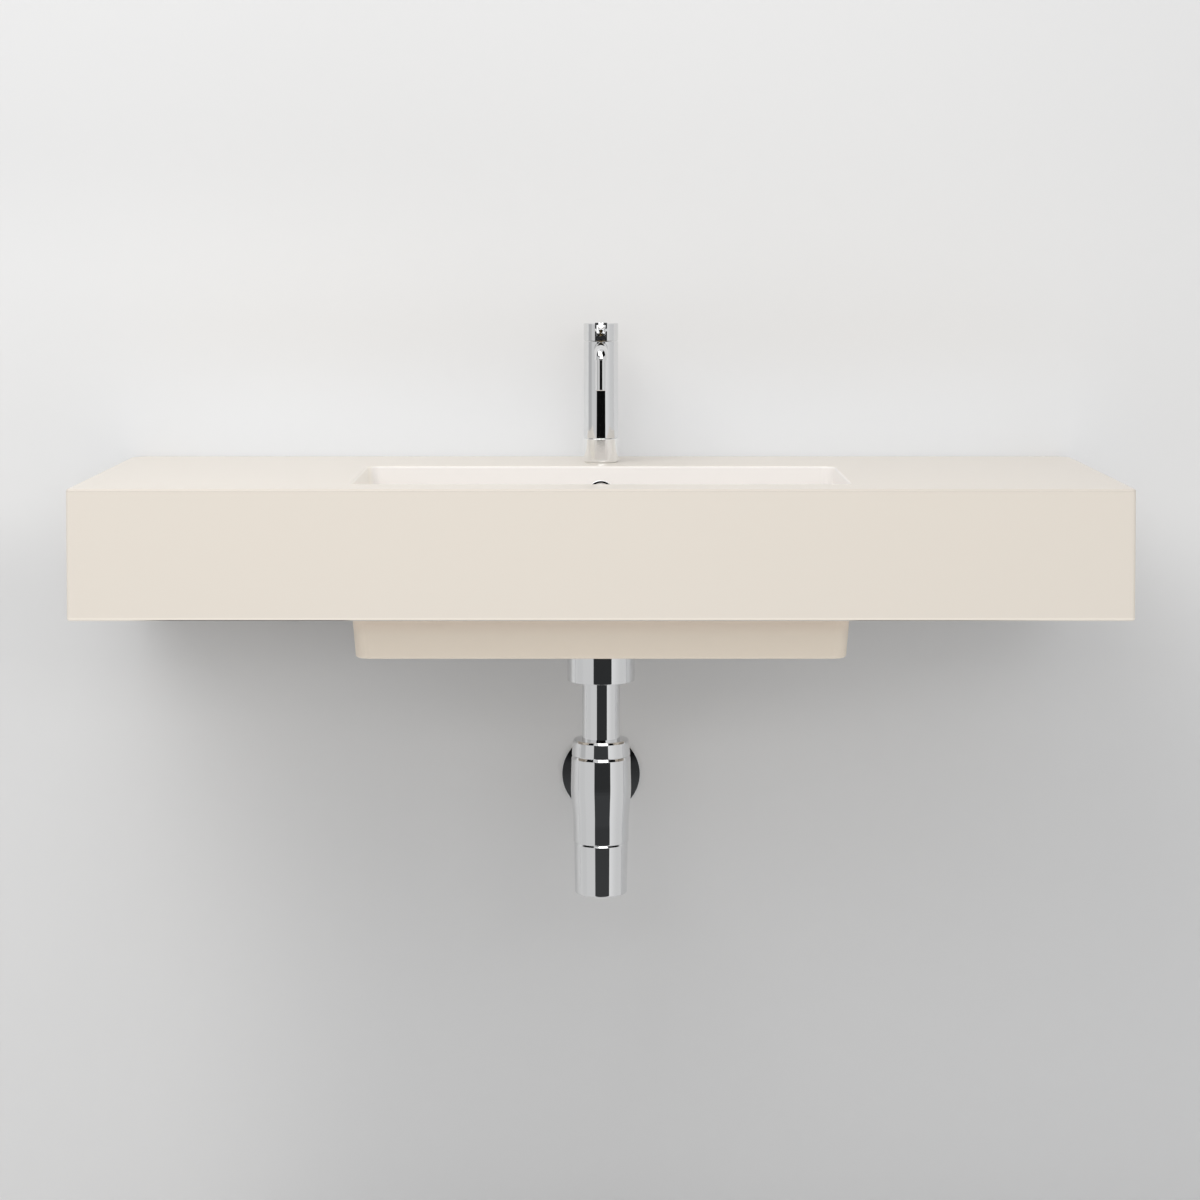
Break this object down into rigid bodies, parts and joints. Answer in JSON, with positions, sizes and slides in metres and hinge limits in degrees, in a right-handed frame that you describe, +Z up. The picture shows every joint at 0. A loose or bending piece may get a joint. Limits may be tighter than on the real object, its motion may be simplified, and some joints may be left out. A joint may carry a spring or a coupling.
{
  "type": "washbasin",
  "caption": "Wall-hung rectangular ceramic washbasin with a column mixer tap, a push-open waste and a bottle trap.",
  "frame": {"origin": "middle of the line between the two wall studs, in the plane of the wall", "axes": "+X to the right for someone facing the basin's wall, +Y into the wall, so the front faces -Y, +Z up"},
  "size_m": [1.25, 0.55, 0.7027],
  "materials": {
    "ceramic": "glossy warm off-white glaze",
    "chrome": "polished chrome plate on brass",
    "steel": "zinc plated steel",
    "white_plastic": "white moulded plastic",
    "rubber": "matt black rubber",
    "brass": "plain machined brass",
    "grey_plastic": "grey moulded plastic"
  },
  "bodies": {
    "basin": {"basin_body": "ceramic", "overflow_ring": "chrome", "wall_studs": "steel", "stud_bushes": "white_plastic", "stud_washers": "steel", "stud_nuts": "steel", "waste_body": "chrome", "waste_top_seal": "rubber", "waste_bottom_seal": "rubber", "waste_backnut": "brass", "plug_cartridge": "grey_plastic", "inlet_seal": "rubber", "inlet_pipe": "chrome", "inlet_nut": "brass", "cover_collar": "chrome", "collar_ring": "rubber", "cover_sleeve": "chrome", "trap_head": "chrome", "trap_head_seal": "rubber", "trap_body": "chrome", "trap_cup": "chrome", "trap_cup_seal": "rubber", "outlet_pipe": "chrome", "outlet_seal": "rubber", "outlet_nut": "chrome", "wall_rosette": "chrome", "tap_base_seal": "rubber", "tap_base": "chrome", "tap_body": "chrome", "spout": "chrome", "aerator_housing": "chrome", "aerator_insert": "white_plastic", "tap_cartridge": "grey_plastic", "cartridge_nut": "brass", "tap_stud": "steel", "tap_washer_rubber": "rubber", "tap_washer_plate": "steel", "tap_nut": "brass"},
    "plug": {"waste_plug": "chrome", "plug_seal": "rubber"},
    "handle": {"handle_cap": "chrome", "handle_carrier": "brass", "cartridge_stem": "brass", "carrier_screw": "steel", "lever_pivot": "steel"},
    "lever": {"lever_pin": "chrome"}
  },
  "joints": [
    {"name": "plug_slide", "type": "slide", "parent": "basin", "child": "plug", "axis": [0, 0, 1], "range_m": [0, 0.008]},
    {"name": "handle_turn", "type": "hinge", "parent": "basin", "child": "handle", "pos_m": [0, -0.095, 0.245], "axis": [0, 0, 1], "range_deg": [-45, 45]},
    {"name": "lever_lift", "type": "hinge", "parent": "handle", "child": "lever", "pos_m": [0, -0.095, 0.2565], "axis": [-1, 0, 0], "range_deg": [0, 22]}
  ]
}
